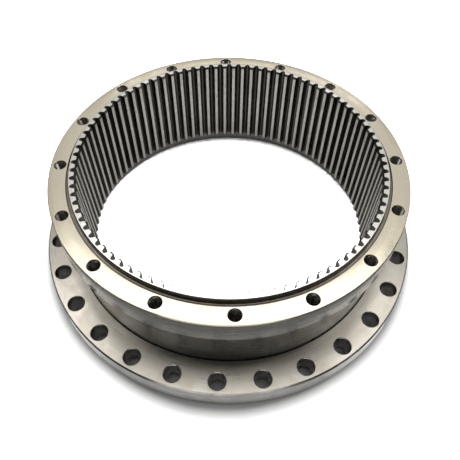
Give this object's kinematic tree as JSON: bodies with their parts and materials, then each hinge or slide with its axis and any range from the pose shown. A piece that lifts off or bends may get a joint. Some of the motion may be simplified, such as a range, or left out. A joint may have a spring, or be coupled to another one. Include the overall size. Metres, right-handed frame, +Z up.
{
  "type": "slewing ring bearing",
  "caption": "Tall internally toothed ring with a tapped top flange, turning on a row of balls inside a low flanged mounting ring with through bolt holes.",
  "frame": {"origin": "on the turning axis, at the underside of the mounting ring, which the part rests on", "axes": "+Z up along the turning axis, towards the tapped platform flange; -Y to the front, through the middle of one through hole of the mounting ring; +X to the right"},
  "size_m": [0.4779, 0.478, 0.1415],
  "materials": {
    "ring_steel": "turned and ground bare steel, satin, with a light oil film",
    "ball_steel": "ground and polished bearing steel",
    "seal_rubber": "matt black nitrile rubber",
    "spacer_plastic": "natural nylon, matt",
    "nipple_steel": "yellow zinc plate"
  },
  "bodies": {
    "fixed_ring": {"mounting_ring": "ring_steel", "upper_seal": "seal_rubber", "lower_seal": "seal_rubber", "filler_plug": "ring_steel", "plug_pin": "ball_steel", "grease_nipple_left": "nipple_steel", "grease_nipple_right": "nipple_steel"},
    "turning_ring": {"geared_ring": "ring_steel"},
    "ball_train": {"ball_set_01": "ball_steel", "ball_set_02": "ball_steel", "ball_set_03": "ball_steel", "ball_set_04": "ball_steel", "ball_set_05": "ball_steel", "ball_set_06": "ball_steel", "ball_set_07": "ball_steel", "ball_set_08": "ball_steel", "ball_set_09": "ball_steel", "ball_set_10": "ball_steel", "ball_set_11": "ball_steel", "ball_set_12": "ball_steel", "spacer_set_01": "spacer_plastic", "spacer_set_02": "spacer_plastic", "spacer_set_03": "spacer_plastic", "spacer_set_04": "spacer_plastic", "spacer_set_05": "spacer_plastic", "spacer_set_06": "spacer_plastic", "spacer_set_07": "spacer_plastic", "spacer_set_08": "spacer_plastic", "spacer_set_09": "spacer_plastic", "spacer_set_10": "spacer_plastic", "spacer_set_11": "spacer_plastic", "spacer_set_12": "spacer_plastic"}
  },
  "joints": [
    {"name": "slew", "type": "hinge", "parent": "fixed_ring", "child": "turning_ring", "pos_m": [0, 0, 0.0135], "axis": [0, 0, 1], "continuous": true},
    {"name": "ball_orbit", "type": "hinge", "parent": "fixed_ring", "child": "ball_train", "pos_m": [0, 0, 0.0135], "axis": [0, 0, 1], "continuous": true}
  ],
  "couplings": [
    {"joint": "ball_orbit", "follows": "slew", "ratio": 0.4894}
  ]
}
